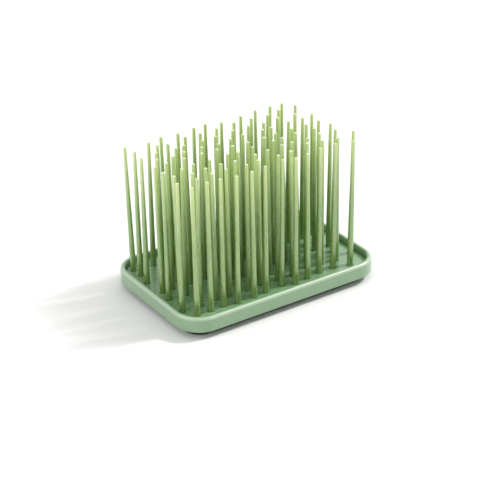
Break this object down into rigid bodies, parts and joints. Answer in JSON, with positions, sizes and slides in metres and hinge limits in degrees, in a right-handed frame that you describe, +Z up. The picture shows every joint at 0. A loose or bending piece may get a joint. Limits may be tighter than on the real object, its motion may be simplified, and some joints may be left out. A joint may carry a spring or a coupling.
{
  "type": "bottle drying rack",
  "caption": "Countertop drying rack: a low rounded tray on an inset rubber base, with a lift-out plate that carries a field of tall thin tapered spikes for bottles and teats.",
  "frame": {"origin": "middle of the rubber base's underside, on the surface that the rack stands on", "axes": "+X along the tray's long side, +Y towards the back long side, +Z up along the spikes"},
  "size_m": [0.2, 0.134, 0.134],
  "materials": {
    "tray_green": "satin moulded plastic, sage green, faint mould texture",
    "spike_green": "satin flexible plastic, olive green, more yellow towards the tips",
    "base_rubber": "matt charcoal rubber"
  },
  "bodies": {
    "tray": {"drip_tray": "tray_green", "nonslip_base": "base_rubber"},
    "spike_insert": {"spike_plate": "tray_green", "spike_comb_1": "spike_green", "spike_comb_2": "spike_green", "spike_comb_3": "spike_green", "spike_comb_4": "spike_green", "spike_comb_5": "spike_green", "spike_comb_6": "spike_green", "spike_comb_7": "spike_green", "spike_comb_8": "spike_green", "spike_comb_9": "spike_green"}
  },
  "joints": [
    {"name": "insert_lift", "type": "slide", "parent": "tray", "child": "spike_insert", "axis": [0, 0, 1], "range_m": [0, 0.06]}
  ]
}
